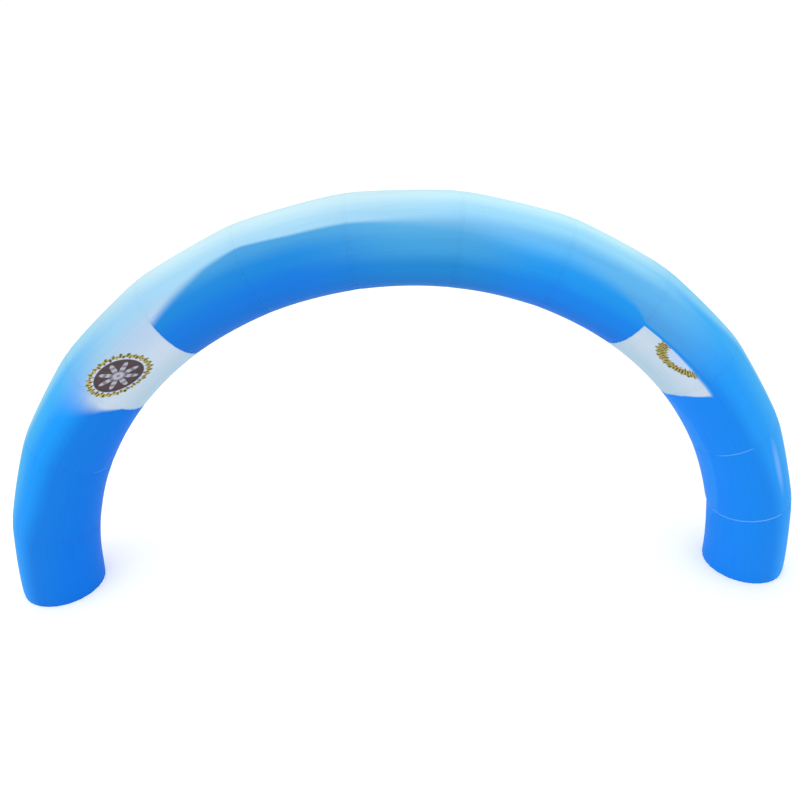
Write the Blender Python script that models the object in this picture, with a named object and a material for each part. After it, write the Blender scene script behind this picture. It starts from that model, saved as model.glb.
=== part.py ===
"""One-tube inflatable arch: thirteen mitred tube sections and two foot panels.

The tube bends in the XZ plane, with its ring centred on the Z axis. X runs along the span,
Y from the front (-Y) to the back and Z up. The origin is on the floor, midway between the
feet. All sizes are in metres.
"""

import math

import bmesh
import bpy

SPAN = 8.0                 # outside to outside, over both feet
TUBE = 0.78                # the tube's width, blown up
SECTIONS = 13              # mitred tube sections in the half ring
RING_DROP = 0.062          # how far below the floor the ring's centre lies

SEAM_DRAW = 0.007          # a cross seam holds the cloth in by this much
SEAM_REACH = 0.10          # share of a section's length over which it is held in
SWELL = 0.004              # a section swells by this much at its middle
FOOT_TUCK = 0.010          # the wall turns in by this much where it meets the foot panel
EASE_OUTER = 0.30          # how far the air rounds the mitres off, 0 sharp to 1 round
EASE_INNER = 0.85

PANEL = 0.002              # a foot panel's thickness
GAP = 0.0003               # between two pieces that are sewn together

AROUND = 48                # points around the tube
ROWS = (0.0, 0.05, 0.15, 0.5, 0.85, 0.95, 1.0)     # rows of points along a section

HALF_TURN = math.radians(180 / SECTIONS) / 2
ROUNDED = 1 + HALF_TURN**2 / 6                     # mean of 1 / cos over a section
TUBE_RADIUS = TUBE / 2
FLOOR_LINE = PANEL + GAP                           # height at which the end sections stop
FOOT_ANGLE = math.asin(RING_DROP / (SPAN / 2))     # of a foot's outer rim, seen from the ring's centre
MIDDLE_RADIUS = (SPAN / 2) * math.cos(HALF_TURN - FOOT_ANGLE) / math.cos(FOOT_ANGLE) - TUBE_RADIUS
GAP_ANGLE = GAP / 2 / (MIDDLE_RADIUS - TUBE_RADIUS)

BLUE = (0.016, 0.21, 0.74)
WHITE = (0.60, 0.68, 0.76)
PRINTED = (4, 10)          # the two sections whose front carries a pale print field


def tube_radius(along, foot_end):
    """The tube's half width at a share of a section's length, drawn in at its seams."""
    swell = SWELL * 4 * along * (1 - along)
    held = max(0, 1 - along / SEAM_REACH) ** 2 * SEAM_DRAW
    far_draw = FOOT_TUCK if foot_end else SEAM_DRAW
    held += max(0, 1 - (1 - along) / SEAM_REACH) ** 2 * far_draw
    return TUBE_RADIUS + swell - held


def reach(radius, around, turn):
    """Distance from the ring's centre, at an angle from the section's middle."""
    ease = EASE_OUTER + (EASE_INNER - EASE_OUTER) * (1 - math.cos(around)) / 2
    mitred = (1 - ease) / math.cos(turn) + ease * ROUNDED
    return (MIDDLE_RADIUS + radius * math.cos(around)) * mitred


def floor_turn(radius, around, middle):
    """The angle from the section's middle at which its cloth comes down to the floor line."""
    turn = -middle
    for _ in range(8):
        turn = math.asin((FLOOR_LINE + RING_DROP) / reach(radius, around, turn)) - middle
    return turn


def row_points(middle, along, foot_end):
    """One ring of points of a section of the right half, from its upper seam (0) down (1)."""
    radius = tube_radius(along, foot_end)
    points = []
    for step in range(AROUND):
        around = 2 * math.pi * step / AROUND
        upper = HALF_TURN - GAP_ANGLE
        lower = floor_turn(radius, around, middle) if foot_end else -upper
        turn = upper + (lower - upper) * along
        out = reach(radius, around, turn)
        x = out * math.cos(middle + turn)
        z = out * math.sin(middle + turn) - RING_DROP
        points.append((x, -radius * math.sin(around), z))
    return points


def loft(name, rows, collection, material):
    """A closed solid through rings of points, with flat ends."""
    mesh_tools = bmesh.new()
    rings = []
    for points in rows:
        ring = bmesh.ops.create_circle(mesh_tools, radius=1, segments=AROUND, cap_ends=False)["verts"]
        for vert, place in zip(ring, points):
            vert.co = place
        rings.append({edge for vert in ring for edge in vert.link_edges})
    for first, second in zip(rings, rings[1:]):
        bmesh.ops.bridge_loops(mesh_tools, edges=list(first | second))
    for end in (rings[0], rings[-1]):
        bmesh.ops.contextual_create(mesh_tools, geom=list(end))
    bmesh.ops.recalc_face_normals(mesh_tools, faces=mesh_tools.faces)
    mesh = bpy.data.meshes.new(name)
    mesh_tools.to_mesh(mesh)
    mesh_tools.free()
    mesh.shade_smooth()
    mesh.set_sharp_from_angle(angle=math.radians(30))
    mesh.materials.append(material)
    piece = bpy.data.objects.new(name, mesh)
    collection.objects.link(piece)
    return piece


def mirrored(points):
    return [(-x, y, z) for x, y, z in points]


def cloth(name, colour):
    material = bpy.data.materials.new(name)
    material.use_nodes = True
    shader = material.node_tree.nodes["Principled BSDF"]
    shader.inputs["Base Color"].default_value = (*colour, 1)
    shader.inputs["Roughness"].default_value = 0.45
    shader.inputs["Metallic"].default_value = 0.0
    material.diffuse_color = (*colour, 1)
    return material


def tube_sections(collection):
    """Section 1 stands on the left foot, section 13 on the right one."""
    for number in range(1, SECTIONS + 1):
        from_crown = number - (SECTIONS + 1) // 2
        middle = math.pi / 2 - 2 * HALF_TURN * abs(from_crown)
        foot_end = number in (1, SECTIONS)
        rows = [row_points(middle, along, foot_end) for along in ROWS]
        if from_crown < 0:
            rows = [mirrored(points) for points in rows]
        name = f"tube_section_{number:02d}"
        colour = WHITE if number in PRINTED else BLUE
        loft(name, rows, collection, cloth(name, colour))


def foot_panels(collection):
    """The round panels that close the tube's ends, flat on the floor."""
    outline = row_points(HALF_TURN, 1.0, True)
    for name, points in (("foot_panel_right", outline), ("foot_panel_left", mirrored(outline))):
        rows = [[(x, y, height) for x, y, z in points] for height in (PANEL, 0.0)]
        loft(name, rows, collection, cloth(name, BLUE))


def clear_scene():
    for thing in list(bpy.data.objects):
        bpy.data.objects.remove(thing)


clear_scene()
arch = bpy.data.collections.new("inflatable_arch")
bpy.context.scene.collection.children.link(arch)
tube_sections(arch)
foot_panels(arch)
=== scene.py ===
"""Looks of a one-tube inflatable arch: printed cloth sections, sewn cross seams and foot panels.

An angle along the arch runs from 0 at the right foot to 180 degrees at the left one. An angle
around the tube runs from 0 on the outer side, over 90 at the front, to 180 on the inner side.
Lengths are in metres.
"""

import math

import bpy
import numpy as np
from mathutils import Euler, Matrix, Vector


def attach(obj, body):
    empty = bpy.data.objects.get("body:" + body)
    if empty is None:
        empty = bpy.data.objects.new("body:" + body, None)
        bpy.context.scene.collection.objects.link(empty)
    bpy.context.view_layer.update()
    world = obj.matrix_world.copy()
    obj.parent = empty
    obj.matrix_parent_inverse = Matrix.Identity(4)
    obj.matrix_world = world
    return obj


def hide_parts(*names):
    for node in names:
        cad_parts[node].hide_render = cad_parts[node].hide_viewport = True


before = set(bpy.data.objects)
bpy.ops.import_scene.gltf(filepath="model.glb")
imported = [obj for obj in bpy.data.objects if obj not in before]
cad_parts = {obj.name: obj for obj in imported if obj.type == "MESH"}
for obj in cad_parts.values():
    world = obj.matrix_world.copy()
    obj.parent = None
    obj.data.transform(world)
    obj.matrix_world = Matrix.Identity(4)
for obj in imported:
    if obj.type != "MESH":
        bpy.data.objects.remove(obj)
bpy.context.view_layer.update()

# The frame's driving sizes.
SPAN = 8.0                 # outside to outside, over both feet
TUBE = 0.78                # the tube's width, blown up
SECTIONS = 13              # mitred tube sections in the half ring
RING_DROP = 0.062          # how far below the floor the ring's centre lies
SEAM_DRAW = 0.007          # a cross seam holds the cloth in by this much
SEAM_REACH = 0.10          # share of a section's length over which it is held in
INNER_SLACK = 0.85         # on the inner side it is held in by this much less
SWELL = 0.001              # a section swells by this much at its middle before the air presses it out
FOOT_TUCK = 0.010          # the wall turns in by this much where it meets the foot panel
EASE_OUTER = 0.30          # how far the air rounds the mitres off, 0 sharp to 1 round
EASE_INNER = 1.0           # the blown-up cloth runs in one smooth curve along the inner side
TUCKED_SEAM = 1            # the right leg's lowest seam is drawn in once more on its inner side
TUCK = 0.014
TUCK_REACH = (0.22, 0.05)  # below the seam and above it
TUCK_FOCUS = 4             # the higher, the closer the tuck keeps to the inner side
PANEL = 0.002              # a foot panel's thickness
GAP = 0.0003               # between two pieces that are sewn together

HALF_TURN = math.radians(180 / SECTIONS) / 2
ROUNDED = 1 + HALF_TURN**2 / 6                     # mean of 1 / cos over a section
TUBE_RADIUS = TUBE / 2
FLOOR_LINE = PANEL + GAP                           # height at which the end sections stop
FOOT_ANGLE = math.asin(RING_DROP / (SPAN / 2))     # of a foot's outer rim, seen from the ring's centre
MIDDLE_RADIUS = (SPAN / 2) * math.cos(HALF_TURN - FOOT_ANGLE) / math.cos(FOOT_ANGLE) - TUBE_RADIUS
GAP_ANGLE = GAP / 2 / (MIDDLE_RADIUS - TUBE_RADIUS)
SECTION_LENGTH = 2 * HALF_TURN * MIDDLE_RADIUS     # along the tube's middle line
GIRTH = 2 * math.pi * TUBE_RADIUS

# The fine form of the cloth.
AROUND = 288               # columns of faces around a section
ALONG = 36                 # rows of faces along it
ROW_CROWDING = 0.65        # how far the rows crowd towards the seams, 0 even to 1 most
FLOOR_STEPS = 8            # in which an end section's cloth is brought down to the floor line
MERGE = 1e-5               # points closer than this are sewn into one
SOFT_BEND = 40             # degrees: an edge that bends more than this stays sharp
PUCKERS = 64               # small folds where a seam's thread draws the cloth together
PUCKER_SEED = 100
PUCKER_SCATTER = 0.45      # how far one strays from its even place, as a share of their spacing
PUCKER_DEPTH = 0.0024      # of the deepest on the outer side
PUCKER_SHALLOWEST = 0.15   # share of that depth
PUCKER_WIDTH = (0.014, 0.032)
PUCKER_LENGTH = (0.035, 0.16)
INNER_LONGER = 0.5         # the inner side's cloth is slacker, so its folds are longer by this share
INNER_DEEPER = 0.8         # and deeper by this one
RIPPLE = 0.0018            # slow unevenness of the blown-up cloth
RIPPLE_SEED = 500
RIPPLE_WAVES = 6           # waves that are laid over one another
RIPPLE_ROUND = (2, 8)      # each has at least 2 and fewer than 8 crests round the tube
RIPPLE_SLANT = 2.5         # and moves round by up to so many half waves from seam to seam

# The air that blows the cloth up.
AIR_PRESSURE = 4.5
AIR_FRAMES = 10
AIR_MOST = 0.004           # no point moves further than this
HELD_WIDTH = 0.015         # the lapped seams hold the cloth this far to each side

# The lapped seam across the tube, with its two rows of stitches.
WELT_WIDTH = 0.024
WELT_ROWS = 6              # rows of faces across it
WELT_SUNK = 0.0005         # its underside lies this deep in the cloth, so no gap shows
WELT_THICK = 0.0018
WELT_ROUNDING = 0.4        # of its edges, as a share of its thickness
STITCH_PITCH = 0.012
STITCH_LENGTH = 0.0085
STITCH_THICK = 0.0014
STITCH_SIDES = 6           # faces round it
STITCH_ROWS = 5            # rows of faces from end to end
STITCH_ENDS_DOWN = 0.6     # how deep its ends dip, as a share of its thickness
STITCH_PROUD = 0.2         # how high its middle line lies, as a share of it
STITCH_SOFT_BEND = 60
ROW_SPACING = 0.012
FOOT_ROW = 0.014           # height of the single row of stitches round a foot

FOOT_RIM = 0.018           # the foot panel's turned-in rim

# The print and the light and shade painted into it, all angles in degrees: along the arch, and folded
# round the tube from its outer side.
HALF_CIRCLE = 180
PRINT_AND_LIGHT_ANGLES = ("arch_deg", "round_deg")           # the attributes that keep them on each piece
SMOOTH = {"interpolation_type": "SMOOTHSTEP"}      # for a value that rises from 0 to 1
COLOURS = {"data_type": "RGBA", "output": 2}       # for a mix of two colours, fed at 6 and 7
LEFT_FIELD_TOP = 124.62    # the seams at which the two pale fields end
RIGHT_FIELD_TOP = 55.38
RIGHT_FIELD_ROUND = 100.5  # the right field starts this far round
RIGHT_FIELD_FADE = 5       # its edge is this much softer at its lower end
RIGHT_FIELD_LOW = (53, 43)
FIELD_EDGE = 0.5           # half the softness of a field's lengthwise edge
SEAM_EDGE = 0.12           # and of one along a seam

# Lines through points. The edge and softness of the painted sunlight on the top are drawn over the
# angle along the arch, and those of the legs over the one round the tube. The shift of the legs' shades
# and the band of painted bounce light are drawn over the angle along the arch again.
LIT_TOP_EDGE = ((0, 99), (55.4, 97), (58, 86), (63, 76), (70, 68), (80, 60), (90, 57), (104, 54.5),
              (110, 50.3), (115, 55), (120, 66.5), (124.7, 80.5), (180, 80.5))
LIT_TOP_SOFTNESS = ((0, 2), (56, 2), (70, 16), (80, 14), (95, 3), (110, 2), (120, 8), (125, 6), (180, 3))
LEFT_LEG_EDGE = ((0, 135.5), (42, 135.5), (60, 138), (90, 140.2), (104, 140), (131, 138.5),
                 (180, 138.5))
LEFT_LEG_SOFTNESS = ((0, 9), (60, 8), (90, 2.4), (110, 0.6), (131, 0.15), (180, 0.15))
RIGHT_LEG_EDGE = ((0, 57), (38, 56), (60, 48.5), (98, 46), (101, 39.3), (131, 41), (150, 41.5),
                  (180, 41.5))
RIGHT_LEG_SOFTNESS = ((0, 5.5), (60, 8), (98, 8), (101, 0.5), (110, 0.2), (180, 0.15))
LEG_SHIFT = ((0, 40), (16, 36), (30, 20), (40, 17), (50, 8), (60, 6), (138, 8), (153, 17), (160, 20),
             (168, 33), (180, 38))
SHIFT_ZERO = 20            # the shift's line is drawn this much above nought
BOUNCE_BAND_EDGE = ((0, 180), (12, 178), (14, 158), (20, 151), (28, 147), (36, 152), (40, 160),
              (43, 180), (180, 180))
RIDGE_EASE = 8             # the angle round the tube starts here, so that no colour comes to a ridge

# Where along the arch one run of shades begins to give way to the next, and where it has.
LIT_TOP_TURNS_RIGHT = (100, 66)
UNDER_TURNS_MIDDLE = (106, 88)
UNDER_TURNS_RIGHT = (84, 70)
LEG_TURNS_RIGHT = (100, 80)

# The shades from the outer side round to the inner one: the print's blues with painted light and shade
# in them, pale where sunlight and sky sheen are painted on the top and the legs' outer sides, deep
# where shade is painted on the front and underside.
LIT_TOP = ((15, "#B5D4DD"), (50, "#93C0DA"), (80, "#A7BDD5"), (115, "#BAC9D8"), (150, "#A9C2D0"))
RIGHT_LIT_TOP = ((15, "#B4E2EE"), (38, "#8CCBEA"), (60, "#5AAAE0"), (95, "#4793D1"))
LEFT_UNDER = ((55, "#4290C6"), (80, "#1C7CC8"), (105, "#1671CE"), (145, "#146AC4"))
MIDDLE_UNDER = ((60, "#529FCE"), (85, "#3F93CA"), (112, "#1F7EC3"), (145, "#186FBA"))
RIGHT_UNDER = ((55, "#52B0EC"), (90, "#1E8BDC"), (115, "#177AD8"), (145, "#156ECC"))
LEFT_LEG = ((14, "#7BC0DE"), (34, "#3AA3E2"), (62, "#198FE8"), (95, "#1273D2"), (150, "#0C70D6"))
RIGHT_LEG = ((14, "#7BC5EB"), (32, "#38A5EA"), (72, "#2292EA"), (98, "#167EDF"), (160, "#1880E5"))
LEFT_TINT = "#7FB0D0"      # the pale top is greyer over the left haunch
LEFT_TINT_SHARE = 0.5
LEFT_TINT_ALONG = (118, 136)
LEFT_TINT_ROUND = (90, 60)
SHEEN_PALE = "#A9C4F2"         # painted sheen: a pale patch where light glances off the right leg
SHEEN_MIDDLE = (22.5, 60)    # along and round
SHEEN_REACH = (6.5, 7)
SHEEN_CORE = 0.2             # it is palest within this share of its reach
SHEEN_SHARE = 0.3
# Painted bounce light from the floor: a lighter band along the right leg's inner side.
BOUNCE_BLUE = "#45A4F4"
BOUNCE_SOFTNESS = 1.5
BOUNCE_SHARE = 0.16
# Painted highlights, where light catches the edges of the welts of three seams.
SEAM_HIGHLIGHT_BLUE = "#7CC0F6"
SEAM_HIGHLIGHTS = ((13.85, 66, 178, 0.5), (27.69, 90, 134, 0.36),    # seam, from where to where round, share
             (152.31, 142, 178, 0.2))
SEAM_HIGHLIGHT_EDGE = (0.15, 0.06)       # from the seam, where the painted highlight begins and where it is full
SEAM_HIGHLIGHT_FIRST = 4         # half the length over which it sets in
SEAM_HIGHLIGHT_LAST = 8          # and over which it runs out
STREAK_LENGTH = 9          # faint streaks in the ink, drawn out along the arch
STREAK_WIDTH = 3.2
STREAK_CONTRAST = 0.12
FOOT_BLUES = ((0.3, "#1467C4"), (0.7, "#1A76D2"))
FIELD_SECTIONS = (3, 9)    # counted from the right foot, from 0

# The medallions on the two fields: a ring of leaves round a disc of petals. Each one's centre is
# given in degrees and its size in metres, and the other lengths are shares of its half size.
FIELD_RADIUS = MIDDLE_RADIUS - 0.09                # about how far they lie from the ring's centre
LEFT_MEDALLION = {"centre": (133.4, 97.5), "size": (0.62, 0.33), "tilt": 18, "disc": 0.76, "ring": 0.88}
RIGHT_MEDALLION = {"centre": (47.2, 98), "size": (0.58, 0.30), "tilt": -13, "disc": 0.1, "ring": 0.68}
PETALS = 8
PETAL_REACH = 0.55         # of the disc, to halfway between a petal's tip and its notch
PETAL_SWING = 0.3          # of the disc, from there to the tip and to the notch
PETAL_VEINS = 9
PETAL_VEIN_EDGE = (0.2, 0.8)
LEAVES = 26
LEAF_RAGGED = 0.035        # how far the leaves' tips stand out
LEAF_CONTRAST = 0.25
RING_UNEVEN = 0.16
RING_OUTER = (1.05, 1.08)  # where the ring begins to end, and where it has ended
RING_INNER = 0.04          # how softly it sets in
MEDALLION_GRAIN = 7        # patches across its half size
INK_EDGE = 0.02            # half the softness of an edge in the artwork
LEAF_COLOURS = ((0.2, "#4A5B3A"), (0.4, "#8E9350"), (0.55, "#C2B566"), (0.7, "#80564A"),
                (0.85, "#5E4640"))
PETAL_DARK = "#77757F"
PETAL_PALE = "#A6A8B4"
DISC_DARK = "#35333B"
DISC_BROWN = "#5E4D4B"
BAND_PALE = "#B3C6E2"

THREAD_PALE = "#A9CFF0"
THREAD_FADE = 0.12         # how far the thread is paler than the cloth

# The weave, drawn coarser than the real one of about half a millimetre, and the cloth's slackness.
WEAVE = 0.003
WEAVE_DEPTH = 0.0003
WEAVE_SHARE = 0.1
WEAVES_PER_ARCH_DEGREE = math.radians(1) * MIDDLE_RADIUS / WEAVE
WEAVES_PER_ROUND_DEGREE = math.radians(1) * TUBE_RADIUS / WEAVE
SLACKS_PER_METRE = 9
SLACK_DEPTH = 0.006
SLACK_SHARE = 0.35
SCUFFS_PER_METRE = 6       # soft cloudy scuffs on the foot panels

# The surfaces' shine. Coated polyester has the IOR of most plastics.
POLYESTER_IOR = 1.5
CLOTH_ROUGHNESS = 0.5
CLOTH_GLOSS = 0.04         # nearly matt
THREAD_ROUGHNESS = 0.55
THREAD_GLOSS = 0.2

# The studio.
FLOOR_WHITE = "#FAFAFA"
FLOOR_SIZE = 400
FLOOR_ROUGHNESS = 0.9
FLOOR_GLOW = 0.16          # a little light of its own, so that the floor stays white round the feet
ROOM_LIGHT = 1.03
LAMP_PLACE = (-3, -3.5, 9)
LAMP_AIM = (0, 0, 1.5)
LAMP_SIZE = (8, 6)
LAMP_POWER = 190           # watts

# The camera.
CAMERA_PLACE = (-0.187, -5.817, 4.902)
CAMERA_LENS = 31.23
CAMERA_PAN = 1.388         # degrees, towards +X
CAMERA_TILT = -26.337      # degrees, below level
CAMERA_ROLL = -0.921


def section_name(k):
    """Section k counts from the right foot, the nodes from the left one."""
    return f"{SECTIONS - k:02d}"


def puckers_of(seam):
    """The folds along one seam: where round the tube, how wide, long and deep."""
    chance = np.random.default_rng(PUCKER_SEED + seam)
    strays = chance.uniform(-PUCKER_SCATTER, PUCKER_SCATTER, PUCKERS)
    place = (np.arange(PUCKERS) + strays) / PUCKERS
    inner = (1 - np.cos(place * 2 * math.pi)) / 2
    width = chance.uniform(*PUCKER_WIDTH, PUCKERS)
    low, high = np.log(PUCKER_LENGTH)
    length = np.exp(chance.uniform(low, high, PUCKERS)) * (1 + INNER_LONGER * inner)
    depth = PUCKER_DEPTH * chance.uniform(PUCKER_SHALLOWEST, 1, PUCKERS) * (1 + INNER_DEEPER * inner)
    return list(zip(place, width, length, depth))


SEAM_PUCKERS = [puckers_of(seam) for seam in range(SECTIONS + 1)]


def pucker_lift(seam, around, away):
    """How far a seam's folds, each a groove between two low ridges, raise the cloth away from it."""
    lift = np.zeros_like(around)
    for place, width, length, depth in SEAM_PUCKERS[seam]:
        aside = (around / (2 * math.pi) - place + 0.5) % 1 - 0.5
        across = aside * GIRTH / width
        lift += depth * (2 * across**2 - 1) * np.exp(-across**2 - away / length)
    return lift


def ripple_lift(k, along, around):
    """Slow waves in a section's cloth, gone at its seams."""
    chance = np.random.default_rng(RIPPLE_SEED + k)
    lift = np.zeros_like(around)
    for _ in range(RIPPLE_WAVES):
        waves = chance.integers(*RIPPLE_ROUND)
        slope = chance.uniform(-RIPPLE_SLANT, RIPPLE_SLANT)
        phase = chance.uniform(0, 2 * math.pi)
        lift += np.sin(waves * around + slope * along * math.pi + phase)
    return RIPPLE * lift / (RIPPLE_WAVES / 2) * np.sin(math.pi * along) ** 0.5


def tube_radius(k, along, around):
    """The tube's half width, at a share of section k's length from its lower-angled end."""
    first_draw = FOOT_TUCK if k == 0 else SEAM_DRAW
    last_draw = FOOT_TUCK if k == SECTIONS - 1 else SEAM_DRAW
    held = np.maximum(0, 1 - along / SEAM_REACH) ** 2 * first_draw
    held += np.maximum(0, 1 - (1 - along) / SEAM_REACH) ** 2 * last_draw
    inner = (1 - np.cos(around)) / 2
    held *= 1 - INNER_SLACK * inner
    radius = TUBE_RADIUS + SWELL * 4 * along * (1 - along) - held
    if k == TUCKED_SEAM - 1:
        radius -= TUCK * inner**TUCK_FOCUS * np.exp(-(1 - along) * SECTION_LENGTH / TUCK_REACH[0])
    if k == TUCKED_SEAM:
        radius -= TUCK * inner**TUCK_FOCUS * np.exp(-along * SECTION_LENGTH / TUCK_REACH[1])
    radius += pucker_lift(k, around, along * SECTION_LENGTH)
    radius += pucker_lift(k + 1, around, (1 - along) * SECTION_LENGTH)
    return radius + ripple_lift(k, along, around)


def reach(radius, around, turn):
    """Distance from the ring's centre, at an angle from the section's middle."""
    ease = EASE_OUTER + (EASE_INNER - EASE_OUTER) * (1 - np.cos(around)) / 2
    mitred = (1 - ease) / np.cos(turn) + ease * ROUNDED
    return (MIDDLE_RADIUS + radius * np.cos(around)) * mitred


def floor_turn(radius, around, middle):
    """The angle from an end section's middle at which its cloth comes down to the floor line."""
    turn = np.full_like(around, -middle)
    for _ in range(FLOOR_STEPS):
        turn = np.arcsin((FLOOR_LINE + RING_DROP) / reach(radius, around, turn)) - middle
    return turn


def on_tube(k, along, around, lift):
    """Points on section k's cloth, raised by lift, and their angle along the arch."""
    radius = tube_radius(k, along, around) + lift
    middle = (2 * k + 1) * HALF_TURN
    first = np.full_like(around, GAP_ANGLE - HALF_TURN)
    last = -first
    if k == 0:
        first = floor_turn(radius, around, HALF_TURN)
    if k == SECTIONS - 1:
        last = -floor_turn(radius, around, HALF_TURN)
    turn = first + (last - first) * along
    out = reach(radius, around, turn)
    angle = middle + turn
    points = (out * np.cos(angle), -radius * np.sin(around), out * np.sin(angle) - RING_DROP)
    return np.stack(points, axis=1), angle


def take(piece):
    """Makes a piece the only one selected, and active."""
    bpy.ops.object.select_all(action="DESELECT")
    piece.select_set(True)
    bpy.context.view_layer.objects.active = piece
    return piece


def added(name):
    """The object that an operator has just made, named."""
    piece = bpy.context.object
    piece.name = name
    piece.data.name = name
    return piece


def in_place(piece):
    """Puts a piece's place, turn and scale into its mesh."""
    take(piece)
    bpy.ops.object.transform_apply(location=True, rotation=True, scale=True)
    return piece


def points_of(piece):
    found = np.empty(len(piece.data.vertices) * 3)
    piece.data.vertices.foreach_get("co", found)
    return found.reshape(-1, 3)


def move_points(piece, points):
    piece.data.vertices.foreach_set("co", points.ravel())
    piece.data.update()


def note_print_and_light_place(piece, angle, around):
    """Keeps each point's angles, which the printed colours and their painted light follow, front and
    back alike.
    """
    folded = np.degrees(np.arccos(np.cos(around)))
    folded = np.hypot(folded, RIDGE_EASE)
    for name, values in zip(PRINT_AND_LIGHT_ANGLES, (np.degrees(angle), folded)):
        kept = piece.data.attributes.new(name, "FLOAT", "POINT")
        kept.data.foreach_set("value", values.astype(np.float32))


def smooth(piece, degrees=SOFT_BEND):
    take(piece)
    bpy.ops.object.shade_smooth_by_angle(angle=math.radians(degrees))


def blow_up(cloth):
    """Lets the air press the cloth out between its seams, which hold it still."""
    count = len(cloth.data.vertices)
    along = np.empty(count, np.float32)
    cloth.data.attributes["along"].data.foreach_get("value", along)
    to_seam = np.minimum(along, 1 - along) * SECTION_LENGTH
    held = cloth.vertex_groups.new(name="held")
    held.add(np.nonzero(to_seam < HELD_WIDTH)[0].tolist(), 1.0, "REPLACE")
    before = points_of(cloth)
    modifier = take(cloth).modifiers.new("air", "CLOTH")

    # A light cloth, stiff in its threads and easy to bend, slowed down so that it doesn't flutter.
    air = modifier.settings
    air.quality = 4
    air.mass = 0.3
    air.tension_stiffness = 15
    air.compression_stiffness = 3
    air.shear_stiffness = 5
    air.bending_stiffness = 0.01
    air.tension_damping = 10
    air.compression_damping = 10
    air.shear_damping = 10
    air.air_damping = 2
    air.use_pressure = True
    air.uniform_pressure_force = AIR_PRESSURE
    air.vertex_group_mass = held.name
    air.effector_weights.gravity = 0
    modifier.point_cache.frame_end = AIR_FRAMES

    for moment in range(1, AIR_FRAMES + 1):
        bpy.context.scene.frame_set(moment)
    pressed = cloth.evaluated_get(bpy.context.evaluated_depsgraph_get())
    moved = points_of(pressed) - before
    cloth.modifiers.remove(modifier)
    bpy.context.scene.frame_set(1)
    cloth.vertex_groups.clear()
    length = np.linalg.norm(moved, axis=1, keepdims=True)
    moved *= AIR_MOST / np.maximum(length, AIR_MOST)
    move_points(cloth, before + moved)


def wrapped_cloth(k):
    """A flat length of cloth, wrapped round section k and sewn together along its length."""
    bpy.ops.mesh.primitive_grid_add(x_subdivisions=AROUND, y_subdivisions=ALONG, size=1)
    cloth = in_place(added(f"tube_cloth_{section_name(k)}"))
    flat = points_of(cloth)
    share = flat[:, 1] + 0.5
    crowded = (1 - np.cos(math.pi * share)) / 2
    along = share + (crowded - share) * ROW_CROWDING
    around = (flat[:, 0] + 0.5) * 2 * math.pi
    points, angle = on_tube(k, along, around, np.zeros_like(around))
    move_points(cloth, points)
    note_print_and_light_place(cloth, angle, around)
    kept = cloth.data.attributes.new("along", "FLOAT", "POINT")
    kept.data.foreach_set("value", along.astype(np.float32))
    bpy.ops.object.mode_set(mode="EDIT")
    bpy.ops.mesh.select_all(action="SELECT")
    bpy.ops.mesh.remove_doubles(threshold=MERGE)
    bpy.ops.mesh.flip_normals()
    bpy.ops.object.mode_set(mode="OBJECT")
    return cloth


def close_ends(cloth):
    """Closes both ends of a section where they meet the next one or the floor."""
    take(cloth)
    bpy.ops.object.mode_set(mode="EDIT")
    bpy.ops.mesh.select_all(action="DESELECT")
    bpy.ops.mesh.select_mode(type="EDGE")
    bpy.ops.mesh.select_non_manifold()
    bpy.ops.mesh.fill_holes(sides=0)
    bpy.ops.mesh.select_all(action="SELECT")
    bpy.ops.mesh.normals_make_consistent(inside=False)
    bpy.ops.object.mode_set(mode="OBJECT")


def tube_section(k):
    """The cloth of section k, blown up between its two seams and closed."""
    cloth = wrapped_cloth(k)
    blow_up(cloth)
    close_ends(cloth)
    smooth(cloth)
    node = f"tube_section_{section_name(k)}"
    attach(cloth, "root")
    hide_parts(node)
    return cloth


def wrap_on_seam(piece, seam):
    """Wraps a piece modelled flat onto a seam: X goes round the tube, Y along it and Z outwards."""
    flat = points_of(piece)
    around = flat[:, 0] / TUBE_RADIUS
    points = np.empty_like(flat)
    angle = np.empty(len(flat))
    below = flat[:, 1] < 0
    for k, side, start in ((seam - 1, below, 1), (seam, ~below, 0)):
        if side.any():
            along = start + flat[side, 1] / SECTION_LENGTH
            points[side], angle[side] = on_tube(k, along, around[side], flat[side, 2])
    move_points(piece, points)
    note_print_and_light_place(piece, angle, around)


def apply_modifier(piece, kind, **settings):
    """Adds a modifier with its settings and applies it."""
    take(piece)
    modifier = piece.modifiers.new(kind.lower(), kind)
    for key, value in settings.items():
        setattr(modifier, key, value)
    bpy.ops.object.modifier_apply(modifier=modifier.name)


def close_round(piece):
    """Sews a wrapped piece together where its edges meet."""
    take(piece)
    bpy.ops.object.mode_set(mode="EDIT")
    bpy.ops.mesh.select_all(action="SELECT")
    bpy.ops.mesh.remove_doubles(threshold=MERGE)
    bpy.ops.mesh.normals_make_consistent(inside=False)
    bpy.ops.object.mode_set(mode="OBJECT")


def seam_welt(seam):
    """The lapped seam allowance that runs round the tube between two sections."""
    bpy.ops.mesh.primitive_grid_add(x_subdivisions=AROUND, y_subdivisions=WELT_ROWS, size=1)
    welt = added(f"seam_welt_{seam:02d}")
    welt.scale = (GIRTH, WELT_WIDTH, 1)
    welt.location = (0, 0, -WELT_SUNK)
    in_place(welt)
    wrap_on_seam(welt, seam)
    close_round(welt)
    apply_modifier(welt, "SOLIDIFY", thickness=WELT_THICK, offset=1)
    apply_modifier(welt, "BEVEL", width=WELT_THICK * WELT_ROUNDING, segments=2, limit_method="ANGLE")
    smooth(welt)
    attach(welt, "root")
    return welt


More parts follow.
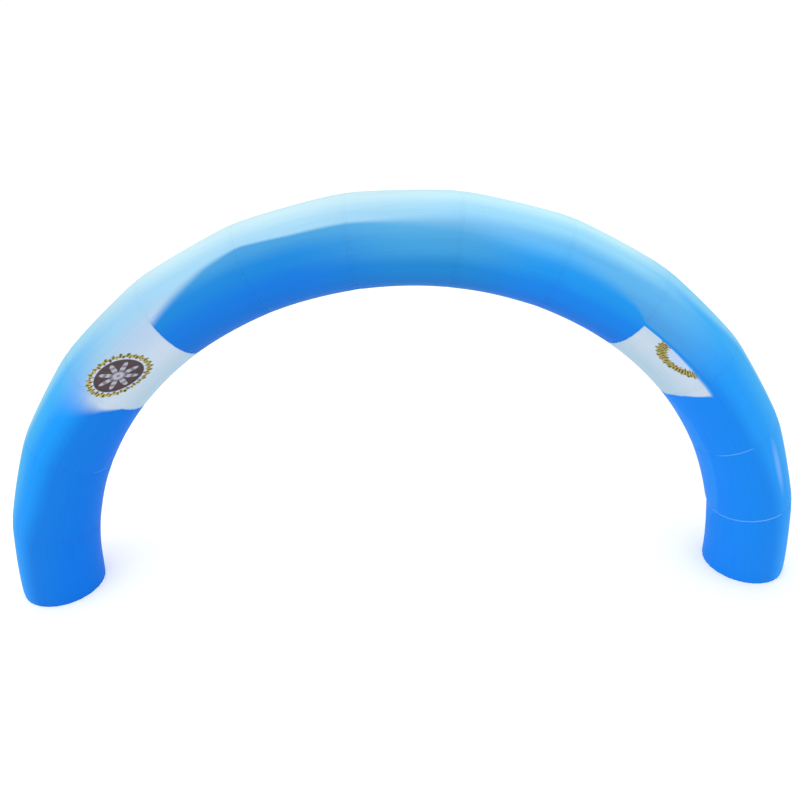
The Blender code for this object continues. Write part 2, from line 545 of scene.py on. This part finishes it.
def one_stitch():
    """A short length of thread, plump in its middle and drawn down at both ends."""
    # It is wrapped from a grid, because a UV sphere's faces come in another order each time.
    bpy.ops.mesh.primitive_grid_add(x_subdivisions=STITCH_SIDES, y_subdivisions=STITCH_ROWS, size=1)
    stitch = in_place(added("stitch"))
    flat = points_of(stitch)
    around = flat[:, 0] * 2 * math.pi
    to_end = np.sin(flat[:, 1] * math.pi)
    half_thick = STITCH_THICK / 2 * np.cos(flat[:, 1] * math.pi)
    height = half_thick * np.sin(around) - STITCH_THICK * to_end**2 * STITCH_ENDS_DOWN
    points = (STITCH_LENGTH / 2 * to_end, half_thick * np.cos(around), height)
    move_points(stitch, np.stack(points, axis=1))
    return stitch


def stitching(seam):
    """Two rows of stitches along a seam's welt, or one round a foot."""
    at_foot = seam in (0, SECTIONS)
    thread = one_stitch()
    thread.name = thread.data.name = f"stitching_{seam:02d}"
    stitches = round(GIRTH / STITCH_PITCH)
    rows = 1 if at_foot else 2
    apply_modifier(thread, "ARRAY", count=stitches, use_relative_offset=False,
                   use_constant_offset=True, constant_offset_displace=(GIRTH / stitches, 0, 0))
    apply_modifier(thread, "ARRAY", count=rows, use_relative_offset=False,
                   use_constant_offset=True, constant_offset_displace=(0, ROW_SPACING, 0))
    first_row = -ROW_SPACING / 2
    if at_foot:
        first_row = FOOT_ROW if seam == 0 else -FOOT_ROW
    height = 0 if at_foot else WELT_THICK - WELT_SUNK
    thread.location = (0, first_row, height + STITCH_THICK * STITCH_PROUD)
    in_place(thread)
    wrap_on_seam(thread, seam)
    close_round(thread)
    smooth(thread, STITCH_SOFT_BEND)
    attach(thread, "root")
    return thread


def foot_panel(side):
    """The round of cloth that closes an end of the tube, flat on the floor, with a turned-in rim."""
    bpy.ops.mesh.primitive_circle_add(vertices=AROUND, radius=1, fill_type="NGON")
    panel = added(f"foot_cloth_{side}")
    around = np.arange(AROUND) / AROUND * 2 * math.pi
    outline, _ = on_tube(0, np.zeros(AROUND), around, np.zeros(AROUND))
    outline[:, 2] = 0
    if side == "left":
        outline[:, 0] *= -1
    move_points(panel, outline)
    take(panel)
    bpy.ops.object.mode_set(mode="EDIT")
    bpy.ops.mesh.select_all(action="SELECT")
    bpy.ops.mesh.inset(thickness=FOOT_RIM)
    bpy.ops.mesh.inset(thickness=FOOT_RIM)
    bpy.ops.mesh.select_all(action="SELECT")
    bpy.ops.mesh.normals_make_consistent(inside=False)
    bpy.ops.object.mode_set(mode="OBJECT")
    if panel.data.polygons[0].normal.z < 0:
        panel.data.flip_normals()
    apply_modifier(panel, "SOLIDIFY", thickness=PANEL, offset=1)
    smooth(panel)
    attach(panel, "root")
    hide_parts(f"foot_panel_{side}")
    return panel


def lay_camera():
    """Stands in front of the arch and a little above it, looking down."""
    data = bpy.data.cameras.new("camera")
    camera = bpy.data.objects.new("camera", data)
    bpy.context.scene.collection.objects.link(camera)
    data.sensor_width = 36
    data.lens = CAMERA_LENS
    camera.location = CAMERA_PLACE
    aim = Euler((math.radians(90 + CAMERA_TILT), 0, math.radians(-CAMERA_PAN))).to_matrix()
    camera.rotation_euler = (aim @ Matrix.Rotation(math.radians(CAMERA_ROLL), 3, "Z")).to_euler()
    bpy.context.scene.camera = camera


def linear(hex_colour):
    """An sRGB hex colour as the linear one that shaders take."""
    parts = [int(hex_colour[i:i + 2], 16) / 255 for i in (1, 3, 5)]
    return [p / 12.92 if p <= 0.04045 else ((p + 0.055) / 1.055) ** 2.4 for p in parts] + [1]


def add(tree, kind, inputs=(), output=0, **settings):
    """Adds a node with its settings, and gives back one of its outputs.

    Each input, by its place or its name, takes a value or the output that feeds it.
    """
    node = tree.nodes.new("ShaderNode" + kind)
    for key, value in settings.items():
        setattr(node, key, value)
    fed = inputs if isinstance(inputs, dict) else dict(enumerate(inputs))
    for key, value in fed.items():
        if isinstance(value, bpy.types.NodeSocket):
            tree.links.new(value, node.inputs[key])
        else:
            node.inputs[key].default_value = value
    return node.outputs[output]


def drawn(tree, angle, points):
    """An angle of the print that depends on another one, as a line drawn through points."""
    part = add(tree, "Math", [angle, HALF_CIRCLE], operation="DIVIDE")
    height = add(tree, "FloatCurve", {"Value": part})
    mapping = height.node.mapping
    line = mapping.curves[0]
    while len(line.points) < len(points):
        line.points.new(0.5, 0.5)
    for point, (x, y) in zip(line.points, points):
        point.location = (x / HALF_CIRCLE, y / HALF_CIRCLE)
        point.handle_type = "VECTOR"
    mapping.update()
    return add(tree, "Math", [height, HALF_CIRCLE], operation="MULTIPLY")


def ink_and_light_shades(tree, value, stops, whole=HALF_CIRCLE):
    """Shades of ink, scuffs and painted light, which follow one another softly along a value."""
    part = add(tree, "Math", [value, whole], operation="DIVIDE")
    colour = add(tree, "ValToRGB", [part])
    line = colour.node.color_ramp
    line.interpolation = "EASE"
    while len(line.elements) < len(stops):
        line.elements.new(0.5)
    for element, (place, shade) in zip(line.elements, stops):
        element.position = place / whole
        element.color = linear(shade)
    return colour


def past(tree, angle, edge, softness, falling=False):
    """From 0 to 1 across a soft edge of the print, or from 1 to 0 where it is falling."""
    limits = [add(tree, "Math", [edge, softness], operation=side) for side in ("SUBTRACT", "ADD")]
    if falling:
        limits.reverse()
    return add(tree, "MapRange", [angle, *limits], **SMOOTH)


def print_edges(tree, arch, turned):
    """Shares of the deep blue beneath the painted sunlit top, the legs, the right print field and what
    is off it.
    """
    lit_top_edge = drawn(tree, arch, LIT_TOP_EDGE)
    beneath = past(tree, turned, lit_top_edge, drawn(tree, arch, LIT_TOP_SOFTNESS))
    left_edge = drawn(tree, turned, LEFT_LEG_EDGE)
    left_leg = past(tree, arch, left_edge, drawn(tree, turned, LEFT_LEG_SOFTNESS))
    right_edge = drawn(tree, turned, RIGHT_LEG_EDGE)
    right_softness = drawn(tree, turned, RIGHT_LEG_SOFTNESS)
    right_leg = past(tree, arch, right_edge, right_softness, falling=True)
    legs = add(tree, "Math", [left_leg, right_leg], operation="MAXIMUM")

    low = add(tree, "MapRange", [arch, *RIGHT_FIELD_LOW], **SMOOTH)
    fade = add(tree, "Math", [low, RIGHT_FIELD_FADE], operation="MULTIPLY")
    full = add(tree, "Math", [fade, RIGHT_FIELD_ROUND + FIELD_EDGE], operation="ADD")
    inner = add(tree, "MapRange", [turned, RIGHT_FIELD_ROUND - FIELD_EDGE, full], **SMOOTH)
    seam = (RIGHT_FIELD_TOP + SEAM_EDGE, RIGHT_FIELD_TOP - SEAM_EDGE)
    below_seam = add(tree, "MapRange", [arch, *seam], **SMOOTH)
    right_field = add(tree, "Math", [inner, below_seam], operation="MULTIPLY")
    off_right_field = add(tree, "Math", [1, right_field], operation="SUBTRACT")

    seam = (LEFT_FIELD_TOP + SEAM_EDGE, LEFT_FIELD_TOP - SEAM_EDGE)
    above_left_field = add(tree, "MapRange", [arch, *seam], **SMOOTH)
    beneath = add(tree, "Math", [beneath, above_left_field], operation="MULTIPLY")
    beneath = add(tree, "Math", [beneath, off_right_field], operation="MULTIPLY")
    return beneath, legs, right_field, off_right_field


def crown_colour(tree, arch, turned, beneath, off_right_field):
    """The crown's blue: pale with painted sunlight and sky sheen on top, deep with painted shade
    beneath.
    """
    rightwards = add(tree, "MapRange", [arch, *LIT_TOP_TURNS_RIGHT], **SMOOTH)
    rightwards = add(tree, "Math", [rightwards, off_right_field], operation="MULTIPLY")
    # The pale top: painted sunlight and sky sheen over the cloth's blue.
    left = ink_and_light_shades(tree, turned, LIT_TOP)
    right = ink_and_light_shades(tree, turned, RIGHT_LIT_TOP)
    pale = add(tree, "Mix", {0: rightwards, 6: left, 7: right}, **COLOURS)
    leftwards = add(tree, "MapRange", [arch, *LEFT_TINT_ALONG], **SMOOTH)
    outwards = add(tree, "MapRange", [turned, *LEFT_TINT_ROUND], **SMOOTH)
    tinted = add(tree, "Math", [leftwards, outwards], operation="MULTIPLY")
    tinted = add(tree, "Math", [tinted, LEFT_TINT_SHARE], operation="MULTIPLY")
    pale = add(tree, "Mix", {0: tinted, 6: pale, 7: linear(LEFT_TINT)}, **COLOURS)

    to_middle = add(tree, "MapRange", [arch, *UNDER_TURNS_MIDDLE], **SMOOTH)
    to_right = add(tree, "MapRange", [arch, *UNDER_TURNS_RIGHT], **SMOOTH)
    # The deep blue beneath, darker inwards with painted shade.
    left = ink_and_light_shades(tree, turned, LEFT_UNDER)
    middle = ink_and_light_shades(tree, turned, MIDDLE_UNDER)
    right = ink_and_light_shades(tree, turned, RIGHT_UNDER)
    deep = add(tree, "Mix", {0: to_middle, 6: left, 7: middle}, **COLOURS)
    deep = add(tree, "Mix", {0: to_right, 6: deep, 7: right}, **COLOURS)
    return add(tree, "Mix", {0: beneath, 6: pale, 7: deep}, **COLOURS)


def leg_colour(tree, arch, turned):
    """The sky blue of the two legs, paler on their outer sides with painted sky light, whose shades
    wander round the tube along the arch.
    """
    shift = add(tree, "Math", [drawn(tree, arch, LEG_SHIFT), SHIFT_ZERO], operation="SUBTRACT")
    shifted = add(tree, "Math", [turned, shift], operation="ADD")
    rightwards = add(tree, "MapRange", [arch, *LEG_TURNS_RIGHT], **SMOOTH)
    left = ink_and_light_shades(tree, shifted, LEFT_LEG)
    right = ink_and_light_shades(tree, shifted, RIGHT_LEG)
    return add(tree, "Mix", {0: rightwards, 6: left, 7: right}, **COLOURS)


def painted_light_colour(tree, arch, turned, colour):
    """A patch of painted sheen on the right leg's outer side, and a band of painted bounce light along
    its inner one.
    """
    # Painted sheen: a pale patch where light glances off the right leg's outer side.
    off_along = add(tree, "Math", [arch, SHEEN_MIDDLE[0]], operation="SUBTRACT")
    off_along = add(tree, "Math", [off_along, SHEEN_REACH[0]], operation="DIVIDE")
    off_round = add(tree, "Math", [turned, SHEEN_MIDDLE[1]], operation="SUBTRACT")
    off_round = add(tree, "Math", [off_round, SHEEN_REACH[1]], operation="DIVIDE")
    away = add(tree, "CombineXYZ", [off_along, off_round])
    away = add(tree, "VectorMath", [away], output="Value", operation="LENGTH")
    painted_sheen = add(tree, "MapRange", [away, 1, SHEEN_CORE], **SMOOTH)
    painted_sheen = add(tree, "Math", [painted_sheen, SHEEN_SHARE], operation="MULTIPLY")
    colour = add(tree, "Mix", {0: painted_sheen, 6: colour, 7: linear(SHEEN_PALE)}, **COLOURS)

    # Painted bounce light from the floor along the right leg's inner side.
    inwards = add(tree, "Math", [turned, drawn(tree, arch, BOUNCE_BAND_EDGE)], operation="SUBTRACT")
    band = add(tree, "MapRange", [inwards, 0, BOUNCE_SOFTNESS], **SMOOTH)
    band = add(tree, "Math", [band, BOUNCE_SHARE], operation="MULTIPLY")
    return add(tree, "Mix", {0: band, 6: colour, 7: linear(BOUNCE_BLUE)}, **COLOURS)


def print_with_painted_light(tree, arch, turned):
    """The cloth's print with its painted light and shade, without its medallions, and the right field's
    share.
    """
    beneath, legs, right_field, off_right_field = print_edges(tree, arch, turned)
    crown = crown_colour(tree, arch, turned, beneath, off_right_field)
    leg = leg_colour(tree, arch, turned)
    colour = add(tree, "Mix", {0: legs, 6: crown, 7: leg}, **COLOURS)
    return painted_light_colour(tree, arch, turned, colour), right_field


def leaf_ring(tree, away, angle, uneven, ring):
    """The ring's share and its colour: leaves side by side, olive to ochre to brown."""
    leaves = add(tree, "Math", [angle, LEAVES], operation="MULTIPLY")
    leaves = add(tree, "Math", [leaves], operation="SINE")
    ragged = add(tree, "Math", [uneven, RING_UNEVEN], operation="MULTIPLY")
    ragged = add(tree, "Math", [leaves, LEAF_RAGGED, ragged], operation="MULTIPLY_ADD")
    rim = add(tree, "Math", [away, ragged], operation="ADD")
    outside = add(tree, "MapRange", [rim, *RING_OUTER], **SMOOTH)
    inside = add(tree, "MapRange", [rim, ring + RING_INNER, ring], **SMOOTH)
    off_ring = add(tree, "Math", [outside, inside], operation="MAXIMUM")
    on_ring = add(tree, "Math", [1, off_ring], operation="SUBTRACT")
    shade = add(tree, "Math", [leaves, LEAF_CONTRAST, uneven], operation="MULTIPLY_ADD")
    return on_ring, ink_and_light_shades(tree, shade, LEAF_COLOURS, whole=1)


def petal_disc(tree, away, angle, uneven, disc):
    """The disc's share and its colour: veined pale petals on a dark ground."""
    wave = add(tree, "Math", [angle, PETALS], operation="MULTIPLY")
    wave = add(tree, "Math", [wave], operation="COSINE")
    rim = add(tree, "Math", [wave, disc * PETAL_SWING, disc * PETAL_REACH], operation="MULTIPLY_ADD")
    beyond = add(tree, "Math", [away, rim], operation="SUBTRACT")
    petal = add(tree, "MapRange", [beyond, INK_EDGE, -INK_EDGE], **SMOOTH)
    vein = add(tree, "Math", [away, PETAL_VEINS], operation="MULTIPLY")
    vein = add(tree, "Math", [vein, 1], operation="PINGPONG")
    vein = add(tree, "MapRange", [vein, *PETAL_VEIN_EDGE], **SMOOTH)
    veined = {0: vein, 6: linear(PETAL_DARK), 7: linear(PETAL_PALE)}
    ground = {0: uneven, 6: linear(DISC_DARK), 7: linear(DISC_BROWN)}
    veined = add(tree, "Mix", veined, **COLOURS)
    ground = add(tree, "Mix", ground, **COLOURS)
    on_disc = add(tree, "MapRange", [away, disc + INK_EDGE, disc - INK_EDGE], **SMOOTH)
    return on_disc, add(tree, "Mix", {0: petal, 6: ground, 7: veined}, **COLOURS)


def medallion(tree, arch, turned, plain, shown, centre, size, tilt, disc, ring):
    """Lays an oval of petals with a ring of leaves over the plain colour, as far as it is shown."""
    along = add(tree, "Math", [arch, centre[0]], operation="SUBTRACT")
    along = add(tree, "Math", [along, math.radians(1) * FIELD_RADIUS], operation="MULTIPLY")
    across = add(tree, "Math", [turned, centre[1]], operation="SUBTRACT")
    across = add(tree, "Math", [across, math.radians(1) * TUBE_RADIUS], operation="MULTIPLY")
    place = add(tree, "CombineXYZ", [along, across])
    turn = add(tree, "VectorRotate", {"Vector": place, "Angle": math.radians(tilt)})
    oval = add(tree, "Mapping", {"Vector": turn, "Scale": (2 / size[0], 2 / size[1], 1)})
    away = add(tree, "VectorMath", [oval], output="Value", operation="LENGTH")
    parts = add(tree, "SeparateXYZ", [oval]).node.outputs
    angle = add(tree, "Math", [parts[1], parts[0]], operation="ARCTAN2")
    uneven = add(tree, "TexNoise", {"Vector": oval, "Scale": MEDALLION_GRAIN, "Detail": 3})
    on_ring, leaves = leaf_ring(tree, away, angle, uneven, ring)
    on_disc, petals = petal_disc(tree, away, angle, uneven, disc)
    on_band = add(tree, "MapRange", [away, ring + INK_EDGE, ring - RING_INNER], **SMOOTH)
    colour = add(tree, "Mix", {0: on_band, 6: plain, 7: linear(BAND_PALE)}, **COLOURS)
    colour = add(tree, "Mix", {0: on_disc, 6: colour, 7: petals}, **COLOURS)
    colour = add(tree, "Mix", {0: on_ring, 6: colour, 7: leaves}, **COLOURS)
    return add(tree, "Mix", {0: shown, 6: plain, 7: colour}, **COLOURS)


def woven(tree, shader, warp_count, weft_count, place):
    """Raises a plain weave, and the slight slackness of cloth under air, on a shader."""
    warp = add(tree, "Math", [warp_count, 0.5], operation="PINGPONG")
    weft = add(tree, "Math", [weft_count, 0.5], operation="PINGPONG")
    weave = add(tree, "Math", [warp, weft], operation="ADD")
    slack = add(tree, "TexNoise", {"Vector": place, "Scale": SLACKS_PER_METRE, "Detail": 4})
    fine = {"Height": weave, "Strength": WEAVE_SHARE, "Distance": WEAVE_DEPTH}
    soft = {"Height": slack, "Strength": SLACK_SHARE, "Distance": SLACK_DEPTH}
    soft["Normal"] = add(tree, "Bump", fine)
    tree.links.new(add(tree, "Bump", soft), shader.inputs["Normal"])


def polyester(name, roughness, gloss):
    """A new material of coated or bonded polyester, with its node tree and shader."""
    material = bpy.data.materials.new(name)
    material.use_nodes = True
    shader = material.node_tree.nodes["Principled BSDF"]
    shader.inputs["Roughness"].default_value = roughness
    shader.inputs["IOR"].default_value = POLYESTER_IOR
    shader.inputs["Specular IOR Level"].default_value = gloss
    return material, material.node_tree, shader


def print_and_light_angles(tree):
    """The angles along the arch and round the tube that each piece keeps for its print and painted
    light.
    """
    return [add(tree, "Attribute", output="Fac", attribute_name=name) for name in PRINT_AND_LIGHT_ANGLES]


def cloth_material(name, with_medallions=False):
    """Coated polyester cloth: nearly matt, with a fine weave and a print in broad soft colours, painted
    light and shade in them.
    """
    material, tree, shader = polyester(name, CLOTH_ROUGHNESS, CLOTH_GLOSS)
    arch, turned = print_and_light_angles(tree)
    colour, right_field = print_with_painted_light(tree, arch, turned)
    if with_medallions:
        colour = medallion(tree, arch, turned, colour, 1, **LEFT_MEDALLION)
        colour = medallion(tree, arch, turned, colour, right_field, **RIGHT_MEDALLION)

    # Faint streaks in the ink, drawn out along the arch, a few parts in a hundred.
    along = add(tree, "Math", [arch, STREAK_LENGTH], operation="DIVIDE")
    across = add(tree, "Math", [turned, STREAK_WIDTH], operation="DIVIDE")
    drawn_out = add(tree, "CombineXYZ", [along, across])
    streak = add(tree, "TexNoise", {"Vector": drawn_out, "Scale": 1, "Detail": 3})
    tone = [streak, STREAK_CONTRAST, 1 - STREAK_CONTRAST / 2]
    tone = add(tree, "Math", tone, operation="MULTIPLY_ADD")
    colour = add(tree, "HueSaturation", {"Value": tone, "Color": colour})
    tree.links.new(colour, shader.inputs["Base Color"])

    length_wise = add(tree, "Math", [arch, WEAVES_PER_ARCH_DEGREE], operation="MULTIPLY")
    round_wise = add(tree, "Math", [turned, WEAVES_PER_ROUND_DEGREE], operation="MULTIPLY")
    place = add(tree, "TexCoord", output="Object")
    woven(tree, shader, length_wise, round_wise, place)
    return material


def foot_material():
    """The same coated cloth in plain deep blue, with the weave running square across the floor."""
    name = "coated polyester oxford, foot panel"
    material, tree, shader = polyester(name, CLOTH_ROUGHNESS, CLOTH_GLOSS)
    place = add(tree, "TexCoord", output="Object")
    scuffed = add(tree, "TexNoise", {"Vector": place, "Scale": SCUFFS_PER_METRE, "Detail": 4})
    tree.links.new(ink_and_light_shades(tree, scuffed, FOOT_BLUES, whole=1), shader.inputs["Base Color"])
    parts = add(tree, "SeparateXYZ", [place]).node.outputs
    across = add(tree, "Math", [parts[0], WEAVE], operation="DIVIDE")
    along = add(tree, "Math", [parts[1], WEAVE], operation="DIVIDE")
    woven(tree, shader, across, along, place)
    return material


def welt_material():
    """The same coated cloth, print and painted light in the lapped seams, with painted highlights along
    parts of three of them.
    """
    name = "coated polyester oxford, lapped seam"
    material, tree, shader = polyester(name, CLOTH_ROUGHNESS, CLOTH_GLOSS)
    arch, turned = print_and_light_angles(tree)
    colour, _ = print_with_painted_light(tree, arch, turned)
    # Painted highlights where light catches the welts' edges.
    for seam, first, last, share in SEAM_HIGHLIGHTS:
        away = add(tree, "Math", [arch, seam], operation="SUBTRACT")
        away = add(tree, "Math", [away], operation="ABSOLUTE")
        line = add(tree, "MapRange", [away, *SEAM_HIGHLIGHT_EDGE], **SMOOTH)
        line = add(tree, "Math", [line, share], operation="MULTIPLY")
        sets_in = (first - SEAM_HIGHLIGHT_FIRST, first + SEAM_HIGHLIGHT_FIRST)
        begun = add(tree, "MapRange", [turned, *sets_in], **SMOOTH)
        runs_out = (last + SEAM_HIGHLIGHT_LAST, last - SEAM_HIGHLIGHT_LAST)
        unfinished = add(tree, "MapRange", [turned, *runs_out], **SMOOTH)
        stretch = add(tree, "Math", [begun, unfinished], operation="MULTIPLY")
        line = add(tree, "Math", [line, stretch], operation="MULTIPLY")
        colour = add(tree, "Mix", {0: line, 6: colour, 7: linear(SEAM_HIGHLIGHT_BLUE)}, **COLOURS)
    tree.links.new(colour, shader.inputs["Base Color"])
    return material


def thread_material():
    """Bonded polyester thread in the cloth's shades, painted light and shade included, a little paler,
    with a dull shine.
    """
    material, tree, shader = polyester("bonded polyester thread", THREAD_ROUGHNESS, THREAD_GLOSS)
    colour, _ = print_with_painted_light(tree, *print_and_light_angles(tree))
    faded = {0: THREAD_FADE, 6: colour, 7: linear(THREAD_PALE)}
    tree.links.new(add(tree, "Mix", faded, **COLOURS), shader.inputs["Base Color"])
    return material


def floor_material():
    """Matt white studio floor."""
    material = bpy.data.materials.new("matt white floor paint")
    material.use_nodes = True
    shader = material.node_tree.nodes["Principled BSDF"]
    shader.inputs["Base Color"].default_value = linear(FLOOR_WHITE)
    shader.inputs["Roughness"].default_value = FLOOR_ROUGHNESS
    shader.inputs["Emission Color"].default_value = linear(FLOOR_WHITE)
    shader.inputs["Emission Strength"].default_value = FLOOR_GLOW
    return material


def lights():
    """A white room all round, and a wide soft lamp high on the left."""
    world = bpy.data.worlds.new("studio")
    bpy.context.scene.world = world
    world.use_nodes = True
    room = world.node_tree.nodes["Background"]
    room.inputs["Color"].default_value = (1, 1, 1, 1)
    room.inputs["Strength"].default_value = ROOM_LIGHT
    bpy.ops.object.light_add(type="AREA", location=LAMP_PLACE)
    lamp = bpy.context.object
    lamp.data.shape = "RECTANGLE"
    lamp.data.size, lamp.data.size_y = LAMP_SIZE
    lamp.data.energy = LAMP_POWER
    aim = Vector(LAMP_AIM) - lamp.location
    lamp.rotation_euler = aim.to_track_quat("-Z", "Y").to_euler()


def floor():
    bpy.ops.mesh.primitive_plane_add(size=FLOOR_SIZE, location=(0, 0, 0))
    ground = added("floor")
    ground.data.materials.append(floor_material())


lay_camera()
plain_cloth = cloth_material("coated polyester oxford, blue print, painted light")
field_cloth = cloth_material("coated polyester oxford, print field, painted light", with_medallions=True)
seam_cloth = welt_material()
bonded_thread = thread_material()
foot_cloth = foot_material()
for k in range(SECTIONS):
    cloth = tube_section(k)
    cloth.data.materials.append(field_cloth if k in FIELD_SECTIONS else plain_cloth)
for seam in range(1, SECTIONS):
    seam_welt(seam).data.materials.append(seam_cloth)
for seam in range(SECTIONS + 1):
    stitching(seam).data.materials.append(bonded_thread)
for side in ("left", "right"):
    foot_panel(side).data.materials.append(foot_cloth)
lights()
floor()
bpy.context.scene.view_settings.view_transform = "Standard"
